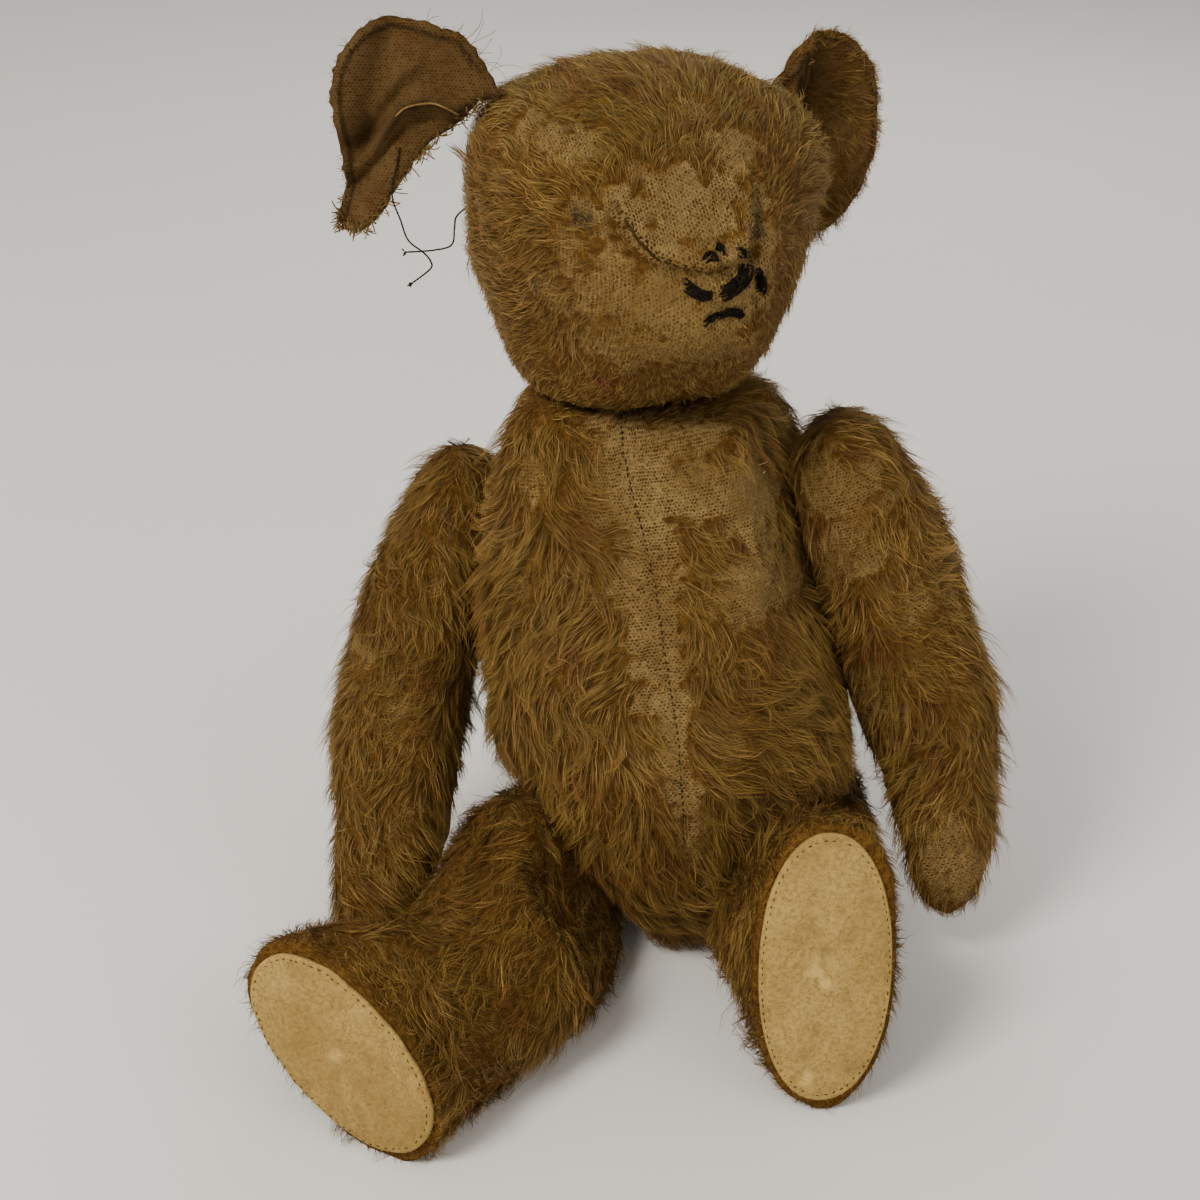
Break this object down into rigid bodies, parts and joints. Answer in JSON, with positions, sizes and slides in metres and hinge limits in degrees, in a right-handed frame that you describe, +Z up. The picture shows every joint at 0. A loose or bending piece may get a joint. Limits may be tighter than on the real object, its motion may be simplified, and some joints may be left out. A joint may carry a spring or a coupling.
{
  "type": "teddy bear",
  "caption": "Seated antique jointed teddy bear of worn mohair with felt pads; both eyes gone, one ear torn and hanging, its nose stitching frayed.",
  "frame": {"origin": "middle of the bear's footprint, on the surface it sits on", "axes": "+Z up; the bear's body faces -Y; its own right is -X"},
  "size_m": [0.2005, 0.192, 0.2624],
  "materials": {
    "mohair": "olive and golden brown mohair pile, worn to its woven backing in patches",
    "felt": "worn grey-beige felt",
    "wood_wool": "packed wood wool",
    "board": "dull pressed board",
    "steel": "dull, lightly rusted",
    "yarn": "black cotton, frayed"
  },
  "bodies": {
    "torso": {"hip_left_body_disc": "board", "hip_left_body_washer": "steel", "hip_left_cotter_pin": "steel", "hip_right_body_disc": "board", "hip_right_body_washer": "steel", "hip_right_cotter_pin": "steel", "neck_body_disc": "board", "neck_body_washer": "steel", "neck_cotter_pin": "steel", "shoulder_left_body_disc": "board", "shoulder_left_body_washer": "steel", "shoulder_left_cotter_pin": "steel", "shoulder_right_body_disc": "board", "shoulder_right_body_washer": "steel", "shoulder_right_cotter_pin": "steel", "torso_cover_left": "mohair", "torso_cover_right": "mohair", "torso_stuffing": "wood_wool"},
    "head": {"ear_left_back": "mohair", "ear_left_front": "mohair", "ear_right_back": "mohair", "ear_right_front": "mohair", "head_gusset": "mohair", "head_side_left": "mohair", "head_side_right": "mohair", "head_stuffing": "wood_wool", "mouth_yarn": "yarn", "neck_limb_disc": "board", "neck_limb_washer": "steel", "nose_yarn_bridge": "yarn", "nose_yarn_left": "yarn", "nose_yarn_right": "yarn", "nose_yarn_side": "yarn", "thread_from_ear": "yarn", "thread_from_head": "yarn"},
    "arm_right": {"arm_inner_right": "mohair", "arm_outer_right": "mohair", "arm_stuffing_right": "wood_wool", "paw_pad_right": "felt", "shoulder_right_limb_disc": "board", "shoulder_right_limb_washer": "steel"},
    "arm_left": {"arm_inner_left": "mohair", "arm_outer_left": "mohair", "arm_stuffing_left": "wood_wool", "paw_pad_left": "felt", "shoulder_left_limb_disc": "board", "shoulder_left_limb_washer": "steel"},
    "leg_right": {"foot_pad_right": "felt", "hip_right_limb_disc": "board", "hip_right_limb_washer": "steel", "leg_inner_right": "mohair", "leg_outer_right": "mohair", "leg_stuffing_right": "wood_wool"},
    "leg_left": {"foot_pad_left": "felt", "hip_left_limb_disc": "board", "hip_left_limb_washer": "steel", "leg_inner_left": "mohair", "leg_outer_left": "mohair", "leg_stuffing_left": "wood_wool"}
  },
  "joints": [
    {"name": "neck", "type": "hinge", "parent": "torso", "child": "head", "pos_m": [-0.00385, 0.04991, 0.16283], "axis": [-0.03, 0, 0.9996], "continuous": true},
    {"name": "shoulder_right", "type": "hinge", "parent": "torso", "child": "arm_right", "pos_m": [-0.04116, 0.04701, 0.11919], "axis": [-0.9723, 0.2005, 0.1203], "range_deg": [-130, 15]},
    {"name": "shoulder_left", "type": "hinge", "parent": "torso", "child": "arm_left", "pos_m": [0.0461, 0.04501, 0.13395], "axis": [0.8636, -0.3515, 0.3615], "range_deg": [-4, 120]},
    {"name": "hip_right", "type": "hinge", "parent": "torso", "child": "leg_right", "pos_m": [-0.00755, 0.01384, 0.03349], "axis": [-0.8116, 0.3006, -0.501], "range_deg": [-90, 10]},
    {"name": "hip_left", "type": "hinge", "parent": "torso", "child": "leg_left", "pos_m": [0.03363, 0.04912, 0.02973], "axis": [0.9789, 0.0303, -0.2018], "range_deg": [-4, 90]}
  ]
}
